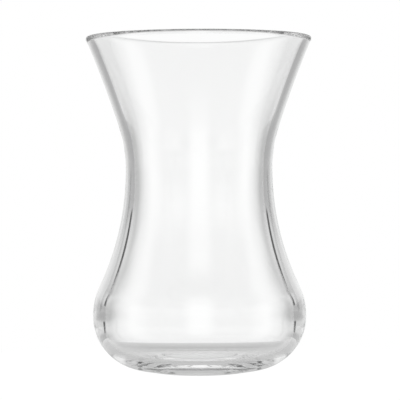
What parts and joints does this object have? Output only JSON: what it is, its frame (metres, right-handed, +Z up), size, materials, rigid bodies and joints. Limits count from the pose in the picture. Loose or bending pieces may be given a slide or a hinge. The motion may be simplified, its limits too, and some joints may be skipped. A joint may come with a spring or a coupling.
{
  "type": "tea glass",
  "caption": "Clear waisted tea glass for hot tea: flared mouth with a rounded lip, narrow waist, round thick-walled belly, and a shallow hollow under the standing ring.",
  "frame": {"origin": "centre of the circle that the glass stands on, at table level", "axes": "+Z up along the glass's own axis, through the middle of the mouth; X and Y are level and interchangeable, because the glass is round"},
  "size_m": [0.0598, 0.0598, 0.089],
  "materials": {
    "glass": "clear, fire-polished, smooth"
  },
  "bodies": {
    "root": {"glass": "glass"}
  },
  "joints": []
}
